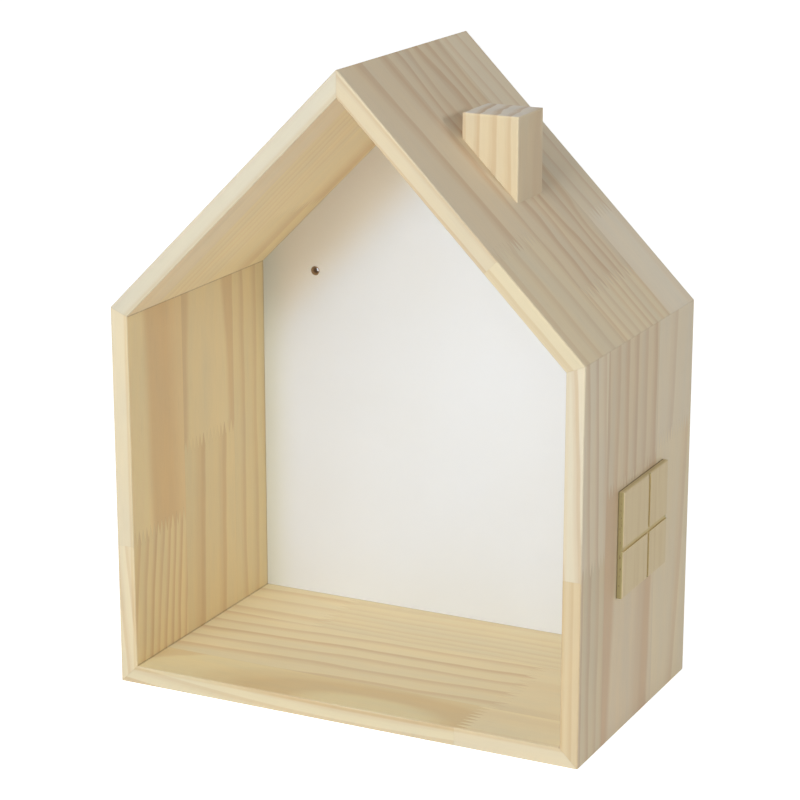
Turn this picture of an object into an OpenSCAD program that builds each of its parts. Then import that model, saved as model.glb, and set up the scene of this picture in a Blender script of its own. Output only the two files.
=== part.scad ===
// House-shaped wall shelf: five mitred pine boards, a white panel let into their back edges,
// a block chimney on the right-hand roof board and a window plate on the right-hand wall.
// Millimetres. The origin is the middle of the base's underside; the open front faces -Y.

/* [House] */
// Width over the two walls
house_w = 320; // [240:5:420]
// Depth from the open front to the back edges
house_d = 180; // [140:5:260]
// Height of the walls, from the underside of the base to the eaves
wall_h = 250; // [200:5:340]
// Height of the ridge above the eaves
roof_rise = 160; // [110:5:200]
// Thickness of the carcass boards
board_t = 12; // [11:0.5:16]
// Radius of the sanded edges of the boards
ease_r = 0.8; // [0.4:0.1:1.5]

/* [Back panel] */
// Thickness of the back panel, which is also how deep its rebate is cut
panel_t = 6; // [4:0.5:9]
// Width of the rebate, measured into the thickness of the boards
rebate_w = 6; // [5:0.5:8]
// Space left round the panel in its rebate
panel_gap = 0.2; // [0.1:0.1:0.5]
// Distance from a wall's inner face to the hanging hole beside it
hang_inset = 40; // [25:1:70]
// Distance of the hanging holes below the eaves
hang_drop = 8; // [4:1:60]
// Diameter of the hanging holes, which take a 3.5 mm screw
hang_d = 3.8; // [3.2:0.1:5.5]
// Diameter of the countersink round each hanging hole
hang_sink_d = 6.4; // [6:0.1:9]

/* [Panel pins] */
// Number of pins along each side of the panel
pin_count = 3; // [2:1:5]
// Distance from the ends of a side to its first and last pin
pin_end = 36; // [20:1:50]
// Diameter of a pin's shank
pin_d = 1.4; // [1:0.1:1.8]
// Length of a pin under its head
pin_len = 18; // [14:1:25]
// Diameter of a pin's head
pin_head_d = 2.6; // [2.2:0.1:3.4]
// Thickness of a pin's head
pin_head_t = 0.8; // [0.5:0.1:1.2]
// Space round the pins and past their points
pin_gap = 0.05; // [0.02:0.01:0.1]

/* [Mitre dowels] */
// Number of dowels in each mitre
dowel_count = 3; // [2:1:3]
// Distance between the dowels of a mitre
dowel_pitch = 56; // [40:1:60]
// Diameter of a mitre dowel
dowel_d = 5; // [4:0.5:5.5]
// Length of a mitre dowel
dowel_len = 12; // [8:1:13]
// Distance from the inner corner of a mitre to the middle of its dowels
dowel_set = 5.5; // [5:0.5:6]
// Space round every dowel, filled with glue
dowel_gap = 0.1; // [0.05:0.05:0.2]
// Space at both ends of every dowel
dowel_end_gap = 0.5; // [0.3:0.1:1]

/* [Chimney] */
// Side of the chimney's square block
chimney_side = 37; // [30:1:50]
// Distance of the chimney's middle from the ridge, measured level
chimney_x = 66.5; // [50:0.5:90]
// Height of the chimney's short side, towards the ridge
chimney_short_h = 15.5; // [8:0.5:30]
// Radius of the chimney's sanded edges
chimney_ease_r = 0.6; // [0.3:0.1:1.5]
// Diameter of the chimney's dowels
chimney_dowel_d = 6; // [5:0.5:8]
// Distance between the chimney's dowels
chimney_dowel_pitch = 20; // [14:1:22]
// Length of a chimney dowel that stands in the block
chimney_dowel_up = 12; // [8:1:14]
// Length of a chimney dowel that stands in the roof board
chimney_dowel_down = 7; // [5:0.5:8]

/* [Window] */
// Width of the window plate, along the depth of the house
window_w = 74; // [50:1:100]
// Height of the window plate
window_h = 68; // [45:1:100]
// Thickness of the window plate
window_t = 4; // [3:0.5:8]
// Height of the middle of the window plate
window_z = 124.5; // [100:0.5:140]
// Distance of the middle of the window plate behind the middle of the wall
window_back = 3.5; // [-10:0.5:10]
// Width of the two grooves that make the panes
groove_w = 3; // [1:0.1:4]
// Depth of the two grooves
groove_depth = 1; // [0.5:0.1:2.5]
// Distance of the upright groove behind the middle of the plate
groove_back = 5.5; // [-10:0.5:10]
// Distance of the level groove below the middle of the plate
groove_low = 2.5; // [-10:0.5:10]
// Radius of the window plate's sanded edges
window_ease_r = 1; // [0.3:0.1:1.2]

/* [Hidden] */

$fn = 48;
// How far a cutting shape runs past the face that it cuts
over = 1;
pine = "#dfca9f";
beech = "#c9a877";
white_board = "#f2f1ec";
ply = "#cdb88a";
steel = "#b9bcbf";

ridge_h = wall_h + roof_rise;
slope = atan2(roof_rise, house_w / 2);
front_y = -house_d / 2;
back_y = house_d / 2;

// The outer corners, anticlockwise seen from the front. Board i runs from corner i to corner i + 1,
// with its outer face on that line, and mitre i is the joint at corner i.
corners = [[-house_w / 2, 0], [house_w / 2, 0], [house_w / 2, wall_h], [0, ridge_h], [-house_w / 2, wall_h]];
BASE = 0;
RIGHT_WALL = 1;
RIGHT_ROOF = 2;
LEFT_ROOF = 3;
LEFT_WALL = 4;

function wrap(i) = (i + len(corners)) % len(corners);
function run(i) = corners[wrap(i + 1)] - corners[wrap(i)];
function heading(i) = atan2(run(i)[1], run(i)[0]);
function board_length(i) = norm(run(i));
// The saw angle of mitre i: half of the turn from one board to the next
function mitre(i) = ((heading(wrap(i)) - heading(wrap(i - 1)) + 360) % 360) / 2;
// Length of the mitred face, from the outer corner to the inner one
function mitre_face(i) = board_t / cos(mitre(i));
// How much shorter a board's end is at a depth of t below its outer face
function setback(i, t) = t * tan(mitre(i));
// Height of the roof's outer face at a distance x to the right of the ridge
function roof_z(x) = ridge_h - x * tan(slope);
// Corner i of the house's outline, moved in by t from the outer faces
function inset_corner(i, t) = let (a = heading(i), s = setback(i, t))
    corners[i] + s * [cos(a), sin(a)] + t * [-sin(a), cos(a)];

// The frame of board i: X runs along it from corner i, Z points from its outer face to the inside
module at_board(i) {
    translate([corners[i][0], 0, corners[i][1]]) rotate([0, -heading(i), 0]) children();
}

// The frame of mitre i: X runs from the outer corner to the inner one, Z is square to the mitred face
module at_mitre(i) {
    translate([corners[i][0], 0, corners[i][1]]) rotate([0, mitre(i) - 90 - heading(i), 0]) children();
}

// A shape in the X-Z plane, drawn out along Y from y0 to y1
module prism(points, y0, y1) {
    translate([0, y1, 0]) rotate([90, 0, 0]) linear_extrude(y1 - y0) polygon(points);
}

// Rounds an edge that runs along X from the origin. The wood lies towards +Y and +Z.
module edge_cutter(length, r) {
    difference() {
        translate([-over, -over, -over]) cube([length + 2 * over, r + over, r + over]);
        translate([-2 * over, r, r]) rotate([0, 90, 0]) cylinder(r = r, h = length + 4 * over);
    }
}

// Turns an edge cutter upright: it then runs along Z, and the wood lies towards +X and +Y
module upright() {
    rotate(a = -120, v = [1, 1, 1]) children();
}

// Rounds the outer edge of mitre i, seen in the frame of the board that starts there
module corner_cutter(i, r) {
    side = setback(i, r);
    difference() {
        translate([-over, front_y - over, -over]) cube([side + over, house_d + 2 * over, r + over]);
        translate([side, front_y - 2 * over, r]) rotate([-90, 0, 0]) cylinder(r = r, h = house_d + 4 * over);
    }
}

// Places its child at each of the dowels of mitre i, with Z along the dowel
module at_mitre_dowels(i) {
    at_mitre(i)
        for (k = [0:dowel_count - 1])
            translate([mitre_face(i) - dowel_set, (k - (dowel_count - 1) / 2) * dowel_pitch, 0]) children();
}

module mitre_dowels(i) {
    at_mitre_dowels(i) cylinder(d = dowel_d, h = dowel_len, center = true);
}

module mitre_dowel_bores(i) {
    at_mitre_dowels(i)
        cylinder(d = dowel_d + 2 * dowel_gap, h = dowel_len + 2 * dowel_end_gap, center = true);
}

// Places its child at each pin along board i, on the panel's back face, with Z pointing into the wood
module at_pins(i) {
    line_t = board_t - rebate_w / 2;
    first = setback(i, line_t) + pin_end;
    last = board_length(i) - setback(wrap(i + 1), line_t) - pin_end;
    at_board(i)
        for (k = [0:pin_count - 1])
            translate([first + (last - first) * k / (pin_count - 1), back_y, line_t])
                rotate([90, 0, 0]) children();
}

module pin() {
    cylinder(d = pin_head_d, h = pin_head_t);
    cylinder(d = pin_d, h = pin_head_t + pin_len);
}

module pin_bore() {
    translate([0, 0, -over]) cylinder(d = pin_head_d + 2 * pin_gap, h = pin_head_t + over);
    cylinder(d = pin_d + 2 * pin_gap, h = pin_head_t + pin_len + pin_gap);
}

// Board i of the carcass: mitred at both ends, eased along its edges and rebated for the panel
module carcass_board(i) {
    length = board_length(i);
    next = wrap(i + 1);
    end_profile = [[0, 0], [length, 0], [length - setback(next, board_t), board_t],
                   [setback(i, board_t), board_t]];
    difference() {
        at_board(i) difference() {
            prism(end_profile, front_y, back_y);
            translate([0, front_y, 0]) edge_cutter(length, ease_r);
            translate([0, front_y, board_t]) mirror([0, 0, 1]) edge_cutter(length, ease_r);
            translate([0, back_y, 0]) mirror([0, 1, 0]) edge_cutter(length, ease_r);
            corner_cutter(i, ease_r);
            translate([length, 0, 0]) mirror([1, 0, 0]) corner_cutter(next, ease_r);
            translate([-over, back_y - panel_t, board_t - rebate_w])
                cube([length + 2 * over, panel_t + over, rebate_w + over]);
        }
        mitre_dowel_bores(i);
        mitre_dowel_bores(next);
        at_pins(i) pin_bore();
    }
}

// The frame of the chimney's seat: the origin on the roof, Z square to it
module at_chimney_seat() {
    translate([chimney_x, 0, roof_z(chimney_x)]) rotate([0, slope, 0]) children();
}

module at_chimney_dowels() {
    at_chimney_seat()
        for (side = [-1, 1])
            translate([0, side * chimney_dowel_pitch / 2, 0]) children();
}

module chimney_dowel_bores() {
    at_chimney_dowels()
        translate([0, 0, -chimney_dowel_down - dowel_end_gap])
            cylinder(d = chimney_dowel_d + 2 * dowel_gap,
                     h = chimney_dowel_down + chimney_dowel_up + 2 * dowel_end_gap);
}

module base_board() {
    color(pine) carcass_board(BASE);
}

module right_wall() {
    color(pine) carcass_board(RIGHT_WALL);
}

module right_roof() {
    color(pine) difference() {
        carcass_board(RIGHT_ROOF);
        chimney_dowel_bores();
    }
}

module left_roof() {
    color(pine) carcass_board(LEFT_ROOF);
}

module left_wall() {
    color(pine) carcass_board(LEFT_WALL);
}

// The panel lies in the rebates of all five boards, flush with their back edges
module back_panel() {
    outline = [for (i = [0:len(corners) - 1]) inset_corner(i, board_t - rebate_w + panel_gap)];
    sink_depth = (hang_sink_d - hang_d) / 2;
    color(white_board) difference() {
        prism(outline, back_y - panel_t, back_y);
        for (side = [-1, 1])
            translate([side * (house_w / 2 - board_t - hang_inset), back_y - panel_t, wall_h - hang_drop])
                rotate([-90, 0, 0]) {
                    translate([0, 0, -over]) cylinder(d = hang_d, h = panel_t + 2 * over);
                    cylinder(d1 = hang_sink_d, d2 = hang_d, h = sink_depth);
                }
        for (i = [0:len(corners) - 1]) at_pins(i) pin_bore();
    }
}

// A square block with upright grain, its foot cut to the slope of the roof
module chimney() {
    ridge_side = chimney_x - chimney_side / 2;
    eave_side = chimney_x + chimney_side / 2;
    top = roof_z(ridge_side) + chimney_short_h;
    tall = top - roof_z(eave_side);
    half = chimney_side / 2;
    profile = [[ridge_side, roof_z(ridge_side)], [eave_side, roof_z(eave_side)], [eave_side, top],
               [ridge_side, top]];
    color(pine) difference() {
        prism(profile, -half, half);
        translate([chimney_x, 0, top])
            for (turn = [0:90:270])
                rotate([0, 0, turn]) translate([-half, -half, 0]) {
                    mirror([0, 0, 1]) edge_cutter(chimney_side, chimney_ease_r);
                    translate([0, 0, -tall]) upright() edge_cutter(tall, chimney_ease_r);
                }
        chimney_dowel_bores();
    }
}

// A thin plate glued to the wall, with two grooves from edge to edge that part it into four panes
module window_plate() {
    face_x = house_w / 2 + window_t;
    color(ply) translate([face_x, window_back, window_z]) difference() {
        translate([-window_t, -window_w / 2, -window_h / 2]) cube([window_t, window_w, window_h]);
        translate([-groove_depth, groove_back - groove_w / 2, -window_h / 2 - over])
            cube([groove_depth + over, groove_w, window_h + 2 * over]);
        translate([-groove_depth, -window_w / 2 - over, -groove_low - groove_w / 2])
            cube([groove_depth + over, window_w + 2 * over, groove_w]);
        for (side = [0, 1]) {
            mirror([0, side, 0]) translate([0, -window_w / 2, -window_h / 2]) mirror([1, 0, 0])
                upright() edge_cutter(window_h, window_ease_r);
            mirror([0, 0, side]) translate([0, -window_w / 2, -window_h / 2]) rotate([0, 0, 90])
                edge_cutter(window_w, window_ease_r);
        }
    }
}

module left_base_dowels() {
    color(beech) mitre_dowels(BASE);
}

module right_base_dowels() {
    color(beech) mitre_dowels(RIGHT_WALL);
}

module right_eave_dowels() {
    color(beech) mitre_dowels(RIGHT_ROOF);
}

module ridge_dowels() {
    color(beech) mitre_dowels(LEFT_ROOF);
}

module left_eave_dowels() {
    color(beech) mitre_dowels(LEFT_WALL);
}

module chimney_dowels() {
    color(beech) at_chimney_dowels()
        translate([0, 0, -chimney_dowel_down])
            cylinder(d = chimney_dowel_d, h = chimney_dowel_down + chimney_dowel_up);
}

module panel_pins() {
    color(steel)
        for (i = [0:len(corners) - 1]) at_pins(i) pin();
}

base_board();
right_wall();
right_roof();
left_roof();
left_wall();
back_panel();
chimney();
window_plate();
left_base_dowels();
right_base_dowels();
right_eave_dowels();
ridge_dowels();
left_eave_dowels();
chimney_dowels();
panel_pins();
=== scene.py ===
# %% [markdown]
# The object is a small house that hangs on a wall as a shelf. Five pine boards are joined by
# mitres, a white panel closes the back, a wooden block makes the chimney and a thin grooved
# plate makes the window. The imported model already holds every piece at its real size, so this
# script loads it as a fixed frame and only adds what the eye sees: wood, paint, light and camera.

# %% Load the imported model
import math
from collections import namedtuple

import bpy
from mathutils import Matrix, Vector


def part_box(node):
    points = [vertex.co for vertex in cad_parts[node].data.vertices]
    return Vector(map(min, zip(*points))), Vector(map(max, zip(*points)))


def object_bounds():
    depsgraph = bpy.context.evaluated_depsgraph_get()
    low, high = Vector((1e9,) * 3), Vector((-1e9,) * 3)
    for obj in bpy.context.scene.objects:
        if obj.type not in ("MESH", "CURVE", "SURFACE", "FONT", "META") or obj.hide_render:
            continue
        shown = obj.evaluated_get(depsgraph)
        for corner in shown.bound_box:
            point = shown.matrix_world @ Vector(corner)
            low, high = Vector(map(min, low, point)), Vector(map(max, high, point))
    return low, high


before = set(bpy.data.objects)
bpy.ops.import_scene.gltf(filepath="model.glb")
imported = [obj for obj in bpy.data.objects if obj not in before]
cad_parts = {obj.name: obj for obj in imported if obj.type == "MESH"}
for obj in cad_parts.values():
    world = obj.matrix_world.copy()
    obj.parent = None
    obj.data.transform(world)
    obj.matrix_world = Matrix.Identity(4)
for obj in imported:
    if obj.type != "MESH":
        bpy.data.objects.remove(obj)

bpy.ops.object.select_all(action="DESELECT")
scene = bpy.context.scene
scene.view_settings.view_transform = "Standard"
cad_low, cad_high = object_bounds()
MM = 0.001
print("pieces:", len(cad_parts), "size in mm:", [round(s / MM, 1) for s in cad_high - cad_low])

# %% [markdown]
# A photograph of a small object is taken from some way off with a long lens, so that upright
# edges stay nearly parallel. The camera stands to the right of the open front, 24 cm higher
# than the ridge. Its place could be found by trial, but working it out from the corners of the
# house comes closer. The values below are the result of that fit, which leaves every corner
# within about 7 px of the photograph.

# %% Camera
CAMERA_PLACE = (0.7085, -1.4405, 0.6487)
CAMERA_AZIMUTH = 26.28
CAMERA_ELEVATION = 16.05
LENS = 118.55
SENSOR = 36.0

bpy.ops.object.camera_add(
    location=CAMERA_PLACE,
    rotation=(math.radians(90 - CAMERA_ELEVATION), 0, math.radians(CAMERA_AZIMUTH)),
)
camera = bpy.context.object
camera.name = "camera"
camera.data.lens = LENS
camera.data.sensor_width = SENSOR
scene.camera = camera
middle = (cad_low + cad_high) / 2
print("camera to the middle of the house:", round((camera.location - middle).length, 3), "m")

# %% [markdown]
# A material is a graph of nodes. Linking dozens of them by hand hides the sums that they
# stand for, so two small classes let Python write them. A Value is a socket that takes plain
# arithmetic: each operator adds one Math node. A Graph makes every other node by one method,
# from its type, its settings and the values or links of its sockets.

# %% Node graphs written as sums
class Value:
    """A socket that takes Python's arithmetic."""

    def __init__(self, graph, socket):
        self.graph = graph
        self.socket = socket

    def maths(self, operation, *inputs):
        return self.graph.node("Math", dict(enumerate(inputs)), operation=operation)

    def __add__(self, other):
        return self.maths("ADD", self, other)

    def __sub__(self, other):
        return self.maths("SUBTRACT", self, other)

    def __rsub__(self, other):
        return self.maths("SUBTRACT", other, self)

    def __mul__(self, other):
        return self.maths("MULTIPLY", self, other)

    def __truediv__(self, other):
        return self.maths("DIVIDE", self, other)

    def __gt__(self, other):
        return self.maths("GREATER_THAN", self, other)

    def __lt__(self, other):
        return self.maths("LESS_THAN", self, other)

    def __abs__(self):
        return self.maths("ABSOLUTE", self)

    __radd__ = __add__
    __rmul__ = __mul__

    def least(self, other):
        return self.maths("MINIMUM", self, other)

    def most(self, other):
        return self.maths("MAXIMUM", self, other)

    def root(self):
        return self.maths("SQRT", self)

    def whole(self):
        return self.maths("FLOOR", self)

    def wave(self, half_length):
        """Rises from 0 to half_length and falls back again, over and over."""
        return self.maths("PINGPONG", self, half_length)

    def step(self, start, end):
        """Goes smoothly from 0 at start to 1 at end."""
        inputs = {"Value": self, "From Min": start, "From Max": end}
        return self.graph.node("MapRange", inputs, interpolation_type="SMOOTHSTEP")


class Graph:
    """The nodes of one material or world."""

    def __init__(self, owner):
        owner.use_nodes = True
        self.owner = owner
        self.tree = owner.node_tree
        self.tree.nodes.clear()

    def node(self, kind, inputs=(), output=0, stops=(), **settings):
        made = self.tree.nodes.new("ShaderNode" + kind)
        for name, setting in settings.items():
            setattr(made, name, setting)
        if stops:
            ramp = made.color_ramp
            ramp.interpolation = "EASE"
            while len(ramp.elements) < len(stops):
                ramp.elements.new(0.5)
            for element, (position, grey) in zip(ramp.elements, stops):
                element.position = position
                element.color = (grey, grey, grey, 1)
        for key, value in dict(inputs).items():
            if isinstance(value, Value):
                self.tree.links.new(value.socket, made.inputs[key])
            else:
                made.inputs[key].default_value = value
        return Value(self, made.outputs[output]) if made.outputs else None

    def dot(self, vector, direction):
        inputs = {0: vector, 1: direction}
        return self.node("VectorMath", inputs, "Value", operation="DOT_PRODUCT")

    def vector(self, x, y, z):
        return self.node("CombineXYZ", {"X": x, "Y": y, "Z": z})

    def noise(self, vector, scale, detail=2.0, roughness=0.5):
        inputs = {"Vector": vector, "Scale": scale, "Detail": detail, "Roughness": roughness}
        return self.node("TexNoise", inputs)

    def blend(self, share, first, second, blend_type="MIX"):
        """Mixes two colours: share 0 gives the first and 1 the second."""
        factor, colour_a, colour_b = 0, 6, 7
        inputs = {factor: share, colour_a: first, colour_b: second}
        return self.node("Mix", inputs, 2, data_type="RGBA", blend_type=blend_type)

    def finish(self, colour, roughness, height, distance, **constants):
        """Ends a material in one Principled shader, with a bump of the given real height."""
        relief = {"Height": height, "Strength": 1.0, "Distance": distance}
        normal = self.node("Bump", relief, "Normal")
        inputs = {"Base Color": colour, "Roughness": roughness, "Normal": normal}
        inputs.update({name.replace("_", " "): value for name, value in constants.items()})
        shader = self.node("BsdfPrincipled", inputs)
        self.node("OutputMaterial", {"Surface": shader})
        print(self.owner.name, "has", len(self.tree.nodes), "nodes")
        return self.owner


def new_material(name):
    return Graph(bpy.data.materials.new(name))


def srgb(red, green, blue):
    """A colour given as it shows on screen, 0 to 255, as the linear values that shaders use."""
    channels = [c / 255 for c in (red, green, blue)]
    linear = [c / 12.92 if c <= 0.04045 else ((c + 0.055) / 1.055) ** 2.4 for c in channels]
    return (*linear, 1.0)


# %% [markdown]
# The backdrop is plain white and reaches the camera as pure white, while the light that falls
# on the wood stays at a plain level. The Light Path node tells the two apart: rays from the
# camera, and mirror or glass rays, see a strength of 1, and the rays that light the object see
# less. The floor is lifted in the same way, so its shadow stays but its open parts turn white.

# %% World and floor
FILL = 0.11
FLOOR_SIZE = 12.0
FLOOR_COLOUR = (0.86, 0.86, 0.86, 1.0)
FLOOR_LIFT = 0.82
FLOOR_GRAIN = 40.0
BLACK, WHITE = (0, 0, 0, 1), (1, 1, 1, 1)


def seen_directly(graph):
    """1 for what the camera sees, also in a mirror or through glass, and 0 for light."""
    kinds = ("Is Camera Ray", "Is Glossy Ray", "Is Transmission Ray")
    camera_ray, glossy_ray, passing_ray = [graph.node("LightPath", (), kind) for kind in kinds]
    return camera_ray.most(glossy_ray).most(passing_ray)


surroundings = Graph(scene.world or bpy.data.worlds.new("studio"))
scene.world = surroundings.owner
strength = seen_directly(surroundings) * (1 - FILL) + FILL
background = surroundings.node("Background", {"Color": WHITE, "Strength": strength})
surroundings.node("OutputWorld", {"Surface": background})

bpy.ops.mesh.primitive_plane_add(size=FLOOR_SIZE, location=(0, 0, cad_low.z))
floor = bpy.context.object
floor.name = "floor"
paint = new_material("floor_paint")
lift = seen_directly(paint) * FLOOR_LIFT
grain = paint.noise(paint.node("TexCoord", (), "Object"), FLOOR_GRAIN)
glow = paint.blend(lift, BLACK, WHITE)
floor.data.materials.append(paint.finish(
    FLOOR_COLOUR, 0.6 + grain * 0.1, grain, 0.1 * MM, Emission_Color=glow, Emission_Strength=1.0,
))

# %% [markdown]
# Four soft lamps light the house, set against the photograph. The main one stands low in front
# and is not too large, so that the left roof's shadow on the panel keeps a shape. A large one
# to its right reaches the inside of the left wall, and a large high one to the left lights the
# roof and the base board. The last is small, stands to the right and slightly behind, and
# lights the outer wall and roof; it throws the dark shadow beside the chimney. Each lamp's
# power is worked out from the share of light that it should add, so that a surface facing the
# lamps shows about its own colour. Light that comes back from the wood is warm, so the lamps
# lean slightly to blue. Azimuths and elevations are in degrees, sizes in metres.

# %% Lamps
LAMP_DISTANCE = 2.4
LAMP_TINT = (0.97, 1.0, 1.03)
Lamp = namedtuple("Lamp", "name azimuth elevation size share")
LAMPS = [
    Lamp("main_lamp", 0.0, 19.0, 0.6, 0.465),
    Lamp("front_lamp", 17.0, 10.0, 1.2, 0.19),
    Lamp("upper_lamp", -10.0, 35.0, 1.2, 0.275),
    Lamp("side_lamp", 105.0, 20.0, 0.5, 0.21),
]

for lamp in LAMPS:
    azimuth, elevation = math.radians(lamp.azimuth), math.radians(lamp.elevation)
    towards = Vector((
        math.sin(azimuth) * math.cos(elevation),
        -math.cos(azimuth) * math.cos(elevation),
        math.sin(elevation),
    ))
    bpy.ops.object.light_add(type="AREA", location=middle + towards * LAMP_DISTANCE)
    light = bpy.context.object
    light.name = lamp.name
    light.rotation_euler = towards.to_track_quat("Z", "Y").to_euler()
    light.data.size = lamp.size
    light.data.color = LAMP_TINT
    light.data.energy = lamp.share * math.pi ** 2 * LAMP_DISTANCE ** 2
    print(lamp.name, round(light.data.energy, 1), "W")

# %% [markdown]
# The boards are not single planks. Each is glued up from staves, 65 to 83 mm wide where none is
# cut off by the board's edge, and most staves from shorter pieces that meet end to end in
# finger joints. To paint that, a board needs
# three directions of its own: along the grain, across it through the depth of the house, and
# inward through its thickness. They follow from the corners of the house, which the boxes of
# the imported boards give.

# %% Directions of each board
BoardFrame = namedtuple("BoardFrame", "foot along inward length low_mitre high_mitre")

base_low, base_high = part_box("base_board")
half_width = base_high.x / MM
board_t = (base_high.z - base_low.z) / MM
front_y, back_y = base_low.y / MM, base_high.y / MM
panel_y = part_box("back_panel")[0].y / MM
ridge_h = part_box("left_roof")[1].z / MM
wall_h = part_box("right_wall")[1].z / MM
slope = math.atan2(ridge_h - wall_h, half_width)
SQUARE_MITRE = math.radians(45)
EAVE_MITRE = (math.pi / 2 - slope) / 2


def board_frame(foot, rise, length, low_mitre, high_mitre, inward_side):
    """foot is the outer corner (x, z) at the lower end, rise the angle of the grain."""
    along = Vector((math.cos(rise), 0, math.sin(rise)))
    inward = Vector((-along.z, 0, along.x)) * inward_side
    return BoardFrame(Vector((foot[0], 0, foot[1])), along, inward, length, low_mitre, high_mitre)


roof_length = math.hypot(half_width, ridge_h - wall_h)
UPRIGHT = math.pi / 2
right_eave, left_eave = (half_width, wall_h), (-half_width, wall_h)
wall_mitres, roof_mitres = (SQUARE_MITRE, EAVE_MITRE), (EAVE_MITRE, SQUARE_MITRE)
FRAMES = {
    "base_board": board_frame((0, 0), 0, 2 * half_width, SQUARE_MITRE, SQUARE_MITRE, 1),
    "right_wall": board_frame((half_width, 0), UPRIGHT, wall_h, *wall_mitres, 1),
    "left_wall": board_frame((-half_width, 0), UPRIGHT, wall_h, *wall_mitres, -1),
    "right_roof": board_frame(right_eave, math.pi - slope, roof_length, *roof_mitres, 1),
    "left_roof": board_frame(left_eave, slope, roof_length, *roof_mitres, -1),
}
print("board:", round(board_t, 2), "mm thick, roof slope", round(math.degrees(slope), 1), "degrees")

# %% [markdown]
# Growth rings are circles round the heart of the tree, drawn out along the grain. Seen on a
# board they give straight stripes where the rings stand upright, wide flames where they lie
# flat, and arcs on the ends. One rule makes all of these: the distance from the heart, divided
# by the width of a ring. A striped piece says where one dark line shows and how far it is to
# the next; a flamed piece says where the heart lies behind its face and how far up the tree's
# taper lets the flames run. The pattern then fits together on every face of the piece, where a
# flat picture of wood would show the same lines on all sides and none on the ends.

# %% Stripes and flames
Piece = namedtuple(
    "Piece", "heart_v heart_w rate offset drift bend crisp contrast wavy red green blue"
)

# A piece's tone and light multiply the wood's colour. They were set against the photograph, so
# they hold some of its light as well as the wood's own colour: the left wall and the left roof
# are set brightest, because their insides get less light.
TONES = {
    "cream": (1.0, 1.0, 1.0),
    "gold": (1.0, 0.985, 0.86),
    "honey": (1.0, 0.995, 0.90),
    "straw": (0.965, 1.0, 0.96),
    "olive": (0.975, 1.0, 0.88),
    "pale": (0.95, 0.99, 1.10),
    "pink": (1.0, 0.985, 1.0),
    "grey": (0.97, 0.985, 1.04),
}
# The place within a ring, from 0 to 1, that a striped piece's line is set by.
DARKEST = 0.82


def look(contrast=0.7, wavy=6.0, light=1.0, tone="cream"):
    """wavy is how far, in mm, the lines wander from side to side."""
    return (contrast, wavy, *(light * channel for channel in TONES[tone]))


def stripes(line, spacing, lean=0.0, turn=130, crisp=1.0, reach=400.0, **appearance):
    """A dark line crosses the face at line, and more at each spacing. They move sideways by
    lean per mm of grain. turn is the direction of the heart, 90 degrees straight behind."""
    angle = math.radians(turn)
    rate = 1 / (spacing * abs(math.cos(angle)))
    outward = 1 if turn > 90 else -1
    offset = DARKEST ** (1 / crisp) - reach * rate
    heart = (line + reach * math.cos(angle), reach * math.sin(angle))
    drift = -outward * lean / spacing
    return Piece(*heart, rate, offset, drift, 0.0, crisp, *look(**appearance))


def flames(centre, ring, phase, drift, bend=0.0, crisp=1.0, reach=150.0, **appearance):
    """The heart lies straight behind centre. A negative ring turns the flames inside out."""
    offset = phase - reach / ring
    return Piece(centre, reach, 1 / ring, offset, drift, bend, crisp, *look(**appearance))


Stave = namedtuple("Stave", "end joint low high")


NO_JOINT = -1000.0


def stave(end, high, joint=NO_JOINT, low=None):
    """A stave reaches across to end. Its low piece ends at joint, along the grain, in mm."""
    return Stave(end, joint, low or high, high)


print("tones of wood:", ", ".join(TONES))

# %% [markdown]
# Each board has three staves, listed from the open front to the back. A joint says how far
# along the board, from its foot or, on the base, from its middle, the low piece of a stave
# meets the high one. All lengths are in mm and follow the boards in the photograph.

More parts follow.
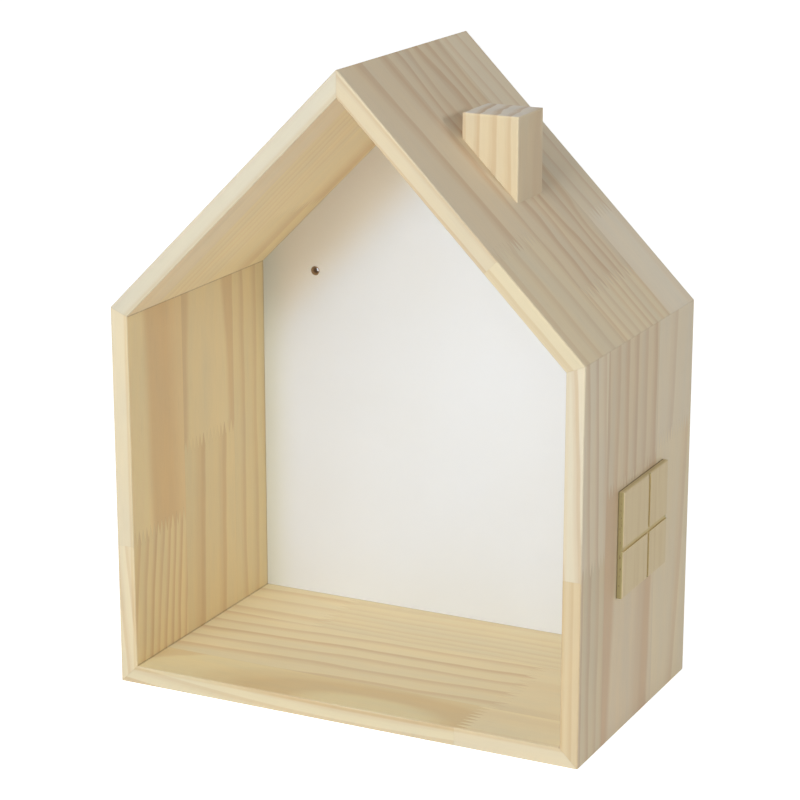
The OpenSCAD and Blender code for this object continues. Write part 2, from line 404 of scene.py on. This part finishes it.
# %% Pieces of each board
WOOD = {
    "left_wall": [
        stave(-24.5, joint=97,
              low=stripes(-54, 8.7, lean=0.10, turn=140, reach=110, contrast=0.8,
                          tone="gold", light=1.20),
              high=stripes(-46, 120, lean=-0.04, turn=45, contrast=1.1, wavy=5,
                           tone="gold", light=1.25)),
        stave(41, joint=141,
              low=stripes(-5, 33, lean=0.04, turn=105, crisp=1.5, contrast=0.75,
                          tone="gold", light=1.13),
              high=flames(6, -9.7, 1.338, -0.00082, contrast=0.75, wavy=10,
                          tone="gold", light=1.17)),
        stave(90, high=stripes(71, 16, turn=130, crisp=1.3, contrast=0.65,
                               tone="gold", light=1.12)),
    ],
    "right_wall": [
        stave(-53, joint=122,
              low=stripes(-63, 11.5, turn=120, contrast=0.7, light=0.93),
              high=stripes(-71.5, 13, lean=-0.05, crisp=1.3, contrast=0.75,
                           tone="grey", light=1.04)),
        stave(30, joint=162,
              low=stripes(18, 53, lean=0.04, turn=98, crisp=1.1, reach=1000, contrast=1.05,
                          tone="pink", light=1.0),
              high=stripes(-6, 15.2, turn=150, contrast=0.8, wavy=8, tone="pink", light=0.955)),
        stave(90, joint=172,
              low=stripes(67, 60, lean=0.115, turn=98, crisp=3, reach=1000, contrast=0.6,
                          wavy=4, light=1.05),
              high=stripes(44, 55, lean=0.07, turn=98, crisp=3, reach=1000, contrast=0.6,
                           tone="grey", light=1.05)),
    ],
    "right_roof": [
        stave(-28, joint=83,
              low=stripes(-44.5, 18.5, turn=120, crisp=1.5, contrast=0.6, light=1.05),
              high=stripes(-50, 31, lean=-0.043, turn=107, crisp=2, contrast=0.9, wavy=8,
                           tone="pink", light=1.02)),
        stave(48, joint=38,
              low=stripes(-3.5, 10, turn=150, contrast=0.65, light=1.08),
              high=stripes(2, 14, turn=125, contrast=0.9, wavy=22, tone="pink", light=1.01)),
        stave(90, joint=80,
              low=stripes(200, 70, turn=98, contrast=0.3, tone="pale", light=1.20),
              high=stripes(67, 17, lean=-0.043, turn=120, crisp=2, contrast=0.7,
                           tone="grey", light=1.12)),
    ],
    "left_roof": [
        stave(-53, high=stripes(-130, 70, turn=98, contrast=0.2, light=1.24)),
        stave(12, high=stripes(-14, 10, turn=150, contrast=0.3, tone="honey", light=1.24)),
        stave(90, joint=72,
              low=stripes(58, 45, turn=100, crisp=1.2, reach=1000, contrast=0.75,
                          tone="gold", light=1.22),
              high=stripes(75, 60, turn=98, crisp=1.4, reach=1000, contrast=0.65,
                           tone="honey", light=1.24)),
    ],
    "base_board": [
        stave(-52, joint=82,
              low=flames(-86, -9, 1.0285, 0.00133, -0.000038, contrast=0.85, wavy=10,
                         tone="olive", light=1.10),
              high=stripes(-60, 30, contrast=0.25, tone="straw", light=1.15)),
        stave(25, joint=88,
              low=stripes(-14, 16.3, lean=0.058, turn=123, crisp=1.5, contrast=0.95, wavy=8,
                          tone="straw", light=1.09),
              high=stripes(-50, 60, turn=100, contrast=0.3, tone="straw", light=1.095)),
        stave(90, joint=-77,
              low=stripes(60, 19.5, lean=0.03, turn=120, crisp=1.5, contrast=0.6, wavy=8,
                          tone="straw", light=1.115),
              high=stripes(49, 7.8, lean=0.02, turn=40, reach=60, contrast=0.35,
                           tone="straw", light=1.06)),
    ],
}
all_staves = [s for staves in WOOD.values() for s in staves]
print("pieces of wood in the boards:", sum(1 + (s.low is not s.high) for s in all_staves))

# %% [markdown]
# The shader finds out for each point which piece of wood it lies in. The staves' bounds and the
# finger joints divide a board: a zigzag, added to the place along the grain, makes the fingers.
# For each number in which the pieces differ, the shader starts with the first stave's value and
# adds the difference at each bound. A material for each piece would need the board cut into
# pieces; this way it stays whole.

# %% Choosing a piece of wood
FINGER = 10.0
FINGER_PITCH = 4.6


def pick(beyond, values):
    """One number for each stave: the last whose start lies behind the point."""
    total = values[0]
    for mask, before, after in zip(beyond, values, values[1:]):
        if after != before:
            total = mask * (after - before) + total
    return total


def choose(mask, first, second):
    """second where mask is 1, and first where it is 0."""
    plain = not isinstance(first, Value) and not isinstance(second, Value)
    return first if plain and first == second else mask * (second - first) + first


print("fingers:", FINGER, "mm long, one every", FINGER_PITCH, "mm")

# %% [markdown]
# Within a piece, pale early wood turns slowly into brown late wood and stops sharply at the end
# of a ring. Fine fibres, resin ducts and slow changes of tone lie over it, and glue shows as thin
# lines. The mitres show as thin dark joint lines with painted shade, darkest inside the house,
# a painted shadow runs where the boards meet the panel, and a painted highlight makes the eased
# edges a little paler. Only the fibres drive the bump: a bump is worked out at three points for
# each point seen, so it has to be cheap.
#
# The front edges face the main lamp and would render brighter than in the photograph, so
# FRONT_TONES multiplies their colour down, board by board. That is the photograph's light put
# into the colour, and under other light the front edges look darker than the rest of the wood.
# Lamps that stand further aside would need less of it, but a front lamp turned further aside
# weakens the roof's shadow on the panel.

# %% Pine
EARLY_WOOD = srgb(231, 213, 180)
LATE_WOOD = srgb(213, 183, 145)
GLUE = srgb(150, 118, 78)
# END_GRAIN is paler than the side grain. On the chimney's top that paleness is partly painted
# light, as the lamps light the top only a little.
END_GRAIN = srgb(248, 237, 220)
SEAM_SHADE = srgb(122, 84, 46)
EDGE_HIGHLIGHT = srgb(240, 226, 198)
ARRIS_SHADE = (0.95, 0.885, 0.78, 1.0)
RING_PROFILE = [(0.0, 0.0), (0.35, 0.06), (0.60, 0.55), (0.76, 1.0), (0.90, 0.95), (1.0, 0.0)]

# Cycles of noise for each mm, along the grain and across it.
WANDER, PATCHES = (0.012, 0.045), (0.012, 0.06)
FIBRES, DUCTS = (0.05, 1.5), (0.09, 2.6)

# Distances in mm between which a line or an edge fades. The last is the front face's depth.
FINGER_GLUE, STAVE_GLUE = (0.15, 0.55), (0.05, 0.3)
MITRE_LINE, INNER_CORNER = (0.1, 0.8), (0.8, 0.1)
INNER_ARRIS, OUTER_ARRIS = (3.4, 1.8), (0.2, 1.2)
HIGHLIGHT_WIDTH, PANEL_LINE, FRONT_DEPTH = (0.5, 1.8), 1.5, 0.4

# What multiplies the front's colour on the low and the high piece, which is painted shade, and
# how strongly its arrises are darkened with painted shade.
Front = namedtuple("Front", "low high arrises")
FRONT_TONES = {
    "left_wall": Front((0.72, 0.75, 0.85), (0.66, 0.69, 0.80), 0.9),
    "right_wall": Front((0.83, 0.79, 0.70), (0.80, 0.83, 0.84), 0.45),
    "right_roof": Front((0.74, 0.76, 0.74), (0.74, 0.76, 0.74), 0.3),
    "left_roof": Front((0.60, 0.65, 0.72), (0.60, 0.65, 0.72), 0.7),
    "base_board": Front((0.78, 0.79, 0.88), (0.735, 0.73, 0.77), 0.8),
}
# The chimney's front is multiplied down the same way, as painted shade.
CHIMNEY_FRONT = Front((0.82, 0.82, 0.785), (0.82, 0.82, 0.785), 0.0)


def near_edge(distances):
    """1 on the eased edges of a block, where a paler highlight is painted, from the distances to
    its faces in mm.
    """
    sums = [a + b for i, a in enumerate(distances) for b in distances[i + 1:]]
    closest = sums[0]
    for other in sums[1:]:
        closest = closest.least(other)
    return 1 - closest.step(*HIGHLIGHT_WIDTH)


def streaks(g, place, cycles, detail, roughness=0.5, shift=None):
    """Noise drawn out along the grain. shift makes it differ from piece to piece."""
    (u, v, w), (along, across) = place, cycles
    inward = w * across if shift is None else w * across + shift
    return g.noise(g.vector(u * along, v * across, inward), 1.0, detail, roughness)


def growth_rings(g, place, face_w, offset, number):
    """The share of late wood, from how far the point lies from the heart of the tree."""
    u, v, w = place
    wander = streaks(g, place, WANDER, 2.0, shift=offset * 7.3) - 0.5
    dv = v + wander * number("wavy") - number("heart_v")
    dw = w - face_w - number("heart_w")
    radius = (dv * dv + dw * dw).root()
    lean = (u * number("bend") + number("drift")) * u
    phase = radius * number("rate") + lean + offset
    year = phase.whole()
    share = g.node("Math", {0: phase - year, 1: number("crisp")}, operation="POWER")
    late = g.node("ValToRGB", {"Fac": share}, stops=RING_PROFILE)
    strong = g.node("TexWhiteNoise", {"W": year + offset * 5.7}, "Value", noise_dimensions="1D")
    return late * (strong * 0.4 + 0.6) * number("contrast")


def painted_arris_shade(g, colour, w, strength):
    """Paints shade on the two long edges of a board's front, darker on the inner one than the
    outer.
    """
    inner_arris = w.step(*(board_t - distance for distance in INNER_ARRIS))
    outer_arris = (1 - w.step(*OUTER_ARRIS)) * 0.6
    arris = inner_arris.most(outer_arris) * strength
    return g.blend(arris, colour, ARRIS_SHADE, "MULTIPLY")


def mitre_lines_and_shade(g, colour, place, seams, fibre):
    """Thin dark joint lines in the mitres with painted shade, darkest inside the house, and a
    painted shadow where the boards meet the panel.
    """
    u, v, w = place
    low_seam, high_seam = seams
    apart = abs(low_seam(u, w)).least(abs(high_seam(u, w)))
    in_corner = w.step(*(board_t - distance for distance in INNER_CORNER))
    dark = (1 - apart.step(*MITRE_LINE)) * (in_corner * 0.3 + 0.08) * (fibre * 3.0 + 1.0)
    # A painted shadow line where the boards meet the panel.
    dark = dark.most(in_corner * v.step(panel_y - PANEL_LINE, panel_y) * 0.35)
    return g.blend(dark, colour, SEAM_SHADE)


def pine(name, ways, foot, face_w, staves, seams, faces, front, ends=False):
    """ways are the wood's directions along, across and inward, foot is where they start, and
    face_w is how far in the face lies on which the pieces were placed. seams gives distances to
    the mitres and faces the distances to the block's faces, all from u, v and w. front is the
    distance to the front face, and its tones. ends asks for end grain."""
    g = new_material(name)
    place = g.node("TexCoord", (), "Object")
    u, v, w = ((g.dot(place, way) - way.dot(foot) * MM) / MM for way in ways)

    bounds = [s.end for s in staves[:-1]]
    beyond = [v > bound for bound in bounds]
    teeth = (v.wave(FINGER_PITCH / 2) / (FINGER_PITCH / 2) - 0.5) * FINGER
    past_joint = u + teeth - pick(beyond, [s.joint for s in staves])
    upper = past_joint > 0.0

    def number(field):
        lows = pick(beyond, [getattr(s.low, field) for s in staves])
        highs = pick(beyond, [getattr(s.high, field) for s in staves])
        return choose(upper, lows, highs)

    offset = number("offset")
    late = growth_rings(g, (u, v, w), face_w, offset, number)
    fibre = streaks(g, (u, v, w), FIBRES, 3.0, 0.6) - 0.5
    patches = streaks(g, (u, v, w), PATCHES, 2.0, 0.6, shift=offset) - 0.5
    ducts = streaks(g, (u, v, w), DUCTS, 0.0).step(0.74, 0.80)

    shade = fibre * 0.08 + patches * 0.08 - ducts * 0.05 + 1.0
    early = EARLY_WOOD
    if ends:
        across_fibres = abs(g.dot(g.node("TexCoord", (), "Normal"), ways[0])) > 0.7
        early = g.blend(across_fibres, EARLY_WOOD, END_GRAIN)
        late = late * (across_fibres * 0.3 + 1.0)
    red = shade * (patches * 0.07 + number("red"))
    green = shade * number("green")
    blue = shade * (patches * -0.14 + number("blue"))
    colour = g.blend(late, early, LATE_WOOD)
    colour = g.blend(1.0, colour, g.vector(red, green, blue), "MULTIPLY")

    glue = 1 - abs(past_joint).step(*FINGER_GLUE)
    for bound in bounds:
        glue = glue.most((1 - abs(v - bound).step(*STAVE_GLUE)) * 0.5)
    distance, tones = front
    at_front = distance(u, v, w) < FRONT_DEPTH
    colour = g.blend(glue * (0.2 - at_front * 0.16), colour, GLUE)
    # Painted shade on the front face, set board by board.
    tone = g.blend(upper, (*tones.low, 1.0), (*tones.high, 1.0))
    colour = g.blend(at_front, colour, tone, "MULTIPLY")
    if seams:
        colour = painted_arris_shade(g, colour, w, at_front * tones.arrises)
        colour = mitre_lines_and_shade(g, colour, (u, v, w), seams, fibre)

    # A painted highlight along the eased edges, weaker on the front.
    painted_highlight = near_edge([face(u, v, w) for face in faces]) * (patches * 1.5 + 0.75)
    colour = g.blend(painted_highlight * (0.35 - at_front * 0.25), colour, EDGE_HIGHLIGHT)

    roughness = 0.6 - late * 0.08 + fibre * 0.15
    return g.finish(colour, roughness, fibre, 0.12 * MM, Specular_IOR_Level=0.25)


# %% [markdown]
# A mitre is a plane that starts at a board's outer corner and leans inwards, so how far a point
# lies from it shows where the joint's thin line is. The pieces of a board were placed on the
# face that shows in the photograph: the inner one of the base, the left wall and the left roof,
# and the outer one of the right wall and the right roof.

# %% Boards
def mitre_seams(board):
    """Distances of a point from the planes of the board's two mitres."""
    low_u = -board.length / 2 if board.along.x == 1 else 0.0
    high_u = low_u + board.length

    def low(u, w):
        return (u - low_u) * math.cos(board.low_mitre) - w * math.sin(board.low_mitre)

    def high(u, w):
        return (high_u - u) * math.cos(board.high_mitre) - w * math.sin(board.high_mitre)

    return [low, high]


def use_material(node_name, material):
    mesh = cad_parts[node_name].data
    mesh.materials.clear()
    mesh.materials.append(material)


DEPTH_WAY = Vector((0, 1, 0))
half_depth, half_board = back_y, board_t / 2
board_faces = [
    lambda u, v, w: half_depth - abs(v),
    lambda u, v, w: half_board - abs(w - half_board),
]
for node_name, board in FRAMES.items():
    placed_on = 0 if node_name.startswith("right") else board_t
    use_material(node_name, pine(
        "pine_" + node_name, (board.along, DEPTH_WAY, board.inward), board.foot, placed_on,
        WOOD[node_name], mitre_seams(board), board_faces,
        (lambda u, v, w: v - front_y, FRONT_TONES[node_name]),
    ))

# %% [markdown]
# The chimney is a square block with upright grain. Its rings run slantwise from front to back,
# so the front shows stripes and the sawn top shows the same rings as darker bands of end grain.

# %% Chimney
chimney_low, chimney_high = (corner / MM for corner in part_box("chimney"))
chimney_wood = [
    stave(200, high=stripes(chimney_low.x + 10.5, 10.2, turn=185, crisp=1.2, contrast=0.8,
                            wavy=8, light=0.95)),
]
chimney_faces = [
    lambda u, v, w: chimney_high.z - u,
    lambda u, v, w: (v - chimney_low.x).least(chimney_high.x - v),
    lambda u, v, w: (w - chimney_low.y).least(chimney_high.y - w),
]
chimney_ways = (Vector((0, 0, 1)), Vector((1, 0, 0)), DEPTH_WAY)
use_material("chimney", pine(
    "pine_chimney", chimney_ways, Vector((0, 0, 0)), chimney_low.y,
    chimney_wood, (), chimney_faces,
    (lambda u, v, w: w - chimney_low.y, CHIMNEY_FRONT), ends=True,
))

# %% [markdown]
# The panel is fibreboard, painted white on the front only. Its back, its edges and the two
# drilled holes show the bare brown board, so the holes look dark from the front. The paint
# has the fine dimples of a roller. The lamps give only part of the shade on the white, so a warm
# shadow is painted into it under the roof and a grey shade beside the walls, and these show
# under other light as well. Faint grey clouds lie over the white and grow low down, where they
# are probably painted shade too.

# %% Back panel
HOLE_X, HOLE_Z = 108.0, 242.0
HOLE_EDGE = 3.25
PANEL_PAINT = srgb(217, 220, 224)
SHADOW_UNDER_ROOF = srgb(224, 216, 201)
SHADE_BESIDE_WALL = srgb(206, 206, 194)
PAINT_LOW_DOWN = srgb(212, 211, 205)
ROOF_BAND, WALL_BAND, LOW_BAND = (18, 52), (0, 36), 60
PAINT_DEPTH = 0.05
BARE_BOARD = srgb(134, 104, 72)
BARE_FLECK = srgb(160, 130, 92)
ridge_in = ridge_h - board_t / math.cos(slope)


def panel_board():
    g = new_material("painted_fibreboard")
    place = g.node("TexCoord", (), "Object")
    panel_low, panel_high = (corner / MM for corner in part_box("back_panel"))
    x, y, z = (g.dot(place, way) / MM for way in ((1, 0, 0), (0, 1, 0), (0, 0, 1)))
    aside = abs(x) - HOLE_X
    rise = z - HOLE_Z
    in_hole = (aside * aside + rise * rise).root() < HOLE_EDGE
    deep = y > panel_low.y + PAINT_DEPTH
    edge = (panel_high.x - 0.3) < abs(x)
    bare = (in_hole * deep).most(y > panel_high.y - PAINT_DEPTH).most(edge)

    dimples = g.noise(place, 700.0, 2.0)
    clouds = g.noise(place, 14.0, 3.0)
    low_down = 1 - z.step(panel_low.z, panel_low.z + LOW_BAND)
    paint = g.blend(clouds * 0.5 + low_down * 0.3, PANEL_PAINT, PAINT_LOW_DOWN)
    # A painted warm shadow under the roof, and a painted grey shade beside the walls.
    below_roof = (ridge_in - z - abs(x) * math.tan(slope)) * math.cos(slope)
    paint = g.blend(1 - below_roof.step(*ROOF_BAND), paint, SHADOW_UNDER_ROOF)
    beside_wall = 1 - (half_width - board_t - abs(x)).step(*WALL_BAND)
    paint = g.blend(beside_wall * beside_wall, paint, SHADE_BESIDE_WALL)
    fibres = g.noise(place, 500.0, 4.0, 0.7)
    board = g.blend(fibres, BARE_BOARD, BARE_FLECK)
    colour = g.blend(bare, paint, board)
    roughness = bare * 0.4 + dimples * 0.08 + 0.38
    return g.finish(colour, roughness, dimples + fibres * bare * 4.0, 0.04 * MM)


use_material("back_panel", panel_board())

# %% [markdown]
# The window is a plate of thin plywood with a smooth pale face. The saw and the groove cutter
# went through the face into the plies below, so its edges and grooves are browner, with darker
# end grain in the middle ply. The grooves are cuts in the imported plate, so only their colour
# is made here. The upward edge is paler than the others, as in the photograph. That is
# probably light more than wood, and it shows under other light as well.

# %% Window plate
PLY_FACE = srgb(231, 210, 169)
PLY_FACE_LATE = srgb(220, 195, 150)
PLY_EDGE = srgb(177, 163, 114)
PLY_TOP = srgb(224, 205, 159)
PLY_CORE = srgb(112, 90, 58)
PLY_GROOVE = srgb(226, 204, 150)
RIM = 0.8


def plywood():
    g = new_material("plywood")
    place = g.node("TexCoord", (), "Object")
    plate_low, plate_high = (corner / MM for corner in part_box("window_plate"))
    thickness = plate_high.x - plate_low.x
    x, y, z = (g.dot(place, way) / MM for way in ((1, 0, 0), (0, 1, 0), (0, 0, 1)))
    out = g.dot(g.node("TexCoord", (), "Normal"), (1, 0, 0))
    depth = (plate_high.x - x) / thickness

    grain = g.noise(g.vector(x * 0.2, y * 0.22, z * 0.012), 1.0, 3.0)
    fibre = g.noise(g.vector(x * 2.0, y * 2.2, z * 0.06), 1.0, 3.0, 0.6)
    face = g.blend(grain.step(0.45, 0.75) * 0.6 + fibre * 0.2, PLY_FACE, PLY_FACE_LATE)

    ends = g.noise(g.vector(x * 0.9, y * 0.5, z * 0.5), 1.0, 3.0, 0.7)
    middle = depth.step(0.30, 0.36) * (1 - depth.step(0.66, 0.72))
    upward = g.dot(g.node("TexCoord", (), "Normal"), (0, 0, 1)) > 0.5
    edge = g.blend(upward, PLY_EDGE, PLY_TOP)
    spots = ends.step(0.58, 0.64) * (1 - upward)
    edge = g.blend(middle * (spots * 0.8 + 0.12), edge, PLY_CORE)
    groove = g.blend(fibre * 0.2, PLY_GROOVE, PLY_CORE)
    inside_y = (y > plate_low.y + RIM) * (y < plate_high.y - RIM)
    inside = inside_y * (z > plate_low.z + RIM) * (z < plate_high.z - RIM)
    cut = g.blend(inside, edge, groove)
    showing = (1 - out.step(0.35, 0.75)).most(depth > 0.2)
    colour = g.blend(showing, face, cut)
    # Glue and painted contact shadow darken the edges beside the wall, the upward edge most.
    glue = depth.step(0.76, 0.88)
    colour = g.blend(glue * (upward * 0.3 + 0.6), colour, PLY_CORE)
    roughness = 0.62 - grain * 0.1 + fibre * 0.1
    return g.finish(colour, roughness, fibre, 0.1 * MM, Specular_IOR_Level=0.25)


use_material("window_plate", plywood())

# %% [markdown]
# Beech dowels hide in the mitres and under the chimney, and steel pins hold the panel from
# behind. Beech is pinker and finer than pine, with short brown flecks. Steel is a metal: its
# colour is that of its reflection, and small scratches make the gloss uneven.

# %% Dowels and pins
BEECH = srgb(221, 184, 146)
BEECH_FLECK = srgb(186, 140, 100)
STEEL = srgb(196, 197, 200)
STEEL_DULL = srgb(150, 150, 152)


def beech():
    g = new_material("beech")
    place = g.node("TexCoord", (), "Object")
    fleck = g.noise(place, 900.0, 3.0, 0.6)
    pores = g.noise(place, 2600.0, 2.0)
    colour = g.blend(fleck.step(0.5, 0.75), BEECH, BEECH_FLECK)
    return g.finish(colour, 0.55 + fleck * 0.15, pores, 0.05 * MM, Specular_IOR_Level=0.3)


def steel():
    g = new_material("pin_steel")
    place = g.node("TexCoord", (), "Object")
    dull = g.noise(place, 1500.0, 4.0, 0.7)
    scratches = g.noise(place, 6000.0, 2.0)
    colour = g.blend(dull.step(0.4, 0.7), STEEL, STEEL_DULL)
    return g.finish(colour, 0.28 + dull * 0.25, scratches, 0.01 * MM, Metallic=1.0)


beech_wood, pin_metal = beech(), steel()
for node_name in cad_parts.keys():
    if node_name.endswith("_dowels"):
        use_material(node_name, beech_wood)
use_material("panel_pins", pin_metal)
